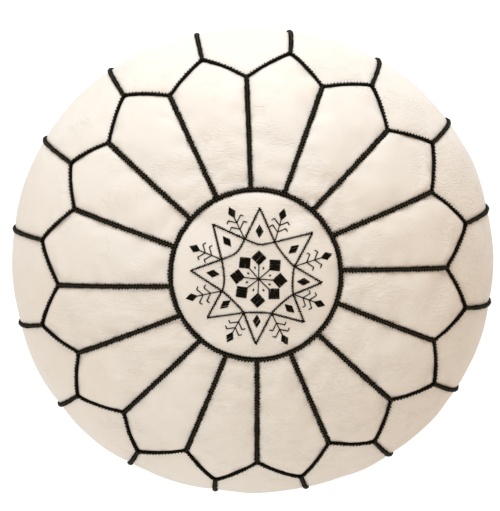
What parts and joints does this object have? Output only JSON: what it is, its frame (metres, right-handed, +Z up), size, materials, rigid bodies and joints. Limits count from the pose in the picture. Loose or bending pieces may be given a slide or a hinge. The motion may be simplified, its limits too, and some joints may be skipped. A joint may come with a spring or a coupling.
{
  "type": "leather pouf",
  "caption": "Round stuffed leather pouf with a domed top of petal panels sewn round an embroidered medallion, braided dark seams, and a zip in its base.",
  "frame": {"origin": "on the floor, under the middle of the pouf", "axes": "+Z up through the medallion; X along the zip in the base, which is the pouf's slightly wider way; +Y towards the back panel of the base"},
  "size_m": [0.521, 0.5032, 0.33],
  "materials": {
    "leather": "satin",
    "thread": "matte",
    "stuffing": "matte",
    "tape": "matte",
    "teeth": "satin",
    "brass": "satin"
  },
  "bodies": {
    "pouf": {"medallion": "leather", "petal_01": "leather", "petal_02": "leather", "petal_03": "leather", "petal_04": "leather", "petal_05": "leather", "petal_06": "leather", "petal_07": "leather", "petal_08": "leather", "petal_09": "leather", "petal_10": "leather", "petal_11": "leather", "petal_12": "leather", "petal_13": "leather", "petal_14": "leather", "petal_15": "leather", "petal_16": "leather", "side_panel_01": "leather", "side_panel_02": "leather", "side_panel_03": "leather", "side_panel_04": "leather", "side_panel_05": "leather", "side_panel_06": "leather", "side_panel_07": "leather", "side_panel_08": "leather", "side_panel_09": "leather", "side_panel_10": "leather", "side_panel_11": "leather", "side_panel_12": "leather", "side_panel_13": "leather", "side_panel_14": "leather", "side_panel_15": "leather", "side_panel_16": "leather", "base_panel_front": "leather", "base_panel_back": "leather", "ring_braid": "thread", "radial_braid_01": "thread", "radial_braid_02": "thread", "radial_braid_03": "thread", "radial_braid_04": "thread", "radial_braid_05": "thread", "radial_braid_06": "thread", "radial_braid_07": "thread", "radial_braid_08": "thread", "radial_braid_09": "thread", "radial_braid_10": "thread", "radial_braid_11": "thread", "radial_braid_12": "thread", "radial_braid_13": "thread", "radial_braid_14": "thread", "radial_braid_15": "thread", "radial_braid_16": "thread", "side_net_braid": "thread", "stuffing": "stuffing", "zip_tape_front": "tape", "zip_tape_back": "tape", "zip_teeth_front": "teeth", "zip_teeth_back": "teeth"},
    "slider": {"zip_slider": "brass"},
    "pull": {"pull_tab": "brass"}
  },
  "joints": [
    {"name": "zip_slide", "type": "slide", "parent": "pouf", "child": "slider", "axis": [-1, 0, 0], "range_m": [0, 0.262]},
    {"name": "pull_tab_hinge", "type": "hinge", "parent": "slider", "child": "pull", "pos_m": [0.14, 0, 0.0082], "axis": [0, -1, 0], "range_deg": [0, 170]}
  ]
}
